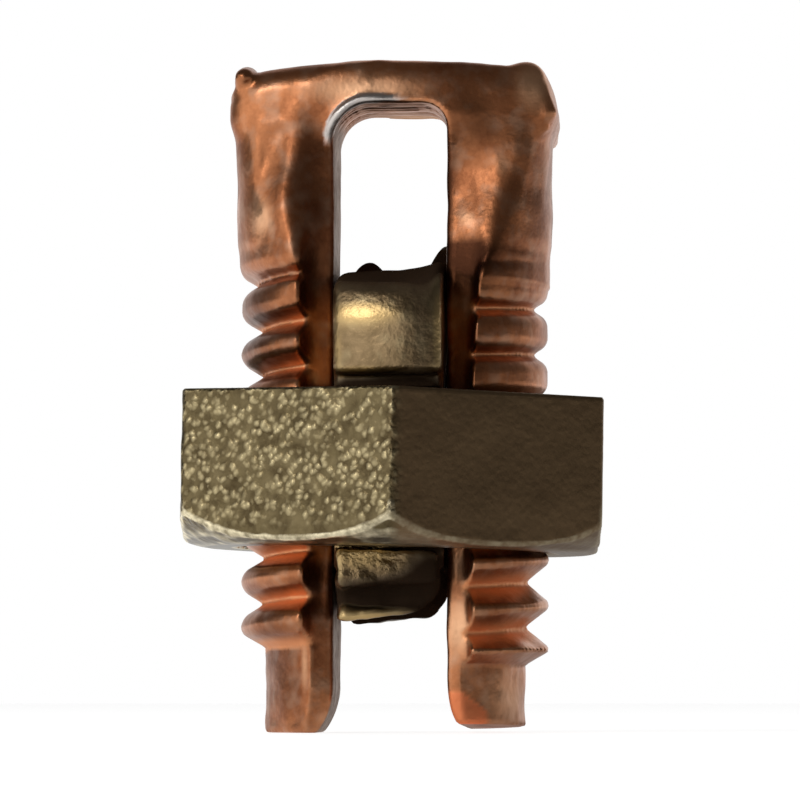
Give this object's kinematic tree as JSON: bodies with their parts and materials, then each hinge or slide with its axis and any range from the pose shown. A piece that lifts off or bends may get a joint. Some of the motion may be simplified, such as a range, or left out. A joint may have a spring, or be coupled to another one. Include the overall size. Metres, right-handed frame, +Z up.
{
  "type": "split-bolt wire connector",
  "caption": "Copper split bolt with a brass hexagon nut and a brass pressure bar, which the nut drives along the slot to clamp bare wires side by side.",
  "frame": {"origin": "on the bolt's axis, in the plane of the leg ends that it stands on", "axes": "+Z up the bolt's axis to its head; X across the slot, through both legs; Y along the wires, through the slot"},
  "size_m": [0.0216, 0.0242, 0.0338],
  "materials": {
    "aged_copper": "tarnished forged copper with worn bright edges",
    "cast_brass": "dull blasted brass",
    "bar_brass": "dull cast brass"
  },
  "bodies": {
    "bolt": {"split_bolt": "aged_copper"},
    "bar": {"pressure_bar": "bar_brass"},
    "nut": {"hex_nut": "cast_brass"}
  },
  "joints": [
    {"name": "bar_slide", "type": "slide", "parent": "bolt", "child": "bar", "axis": [0, 0, 1], "range_m": [-0.01299, 0.00462]},
    {"name": "nut_turn", "type": "hinge", "parent": "bar", "child": "nut", "pos_m": [0, 0, 0.01305], "axis": [0, 0, 1], "range_deg": [-2025, 720]}
  ],
  "couplings": [
    {"joint": "nut_turn", "follows": "bar_slide", "rad_per_m": 2721.2}
  ]
}
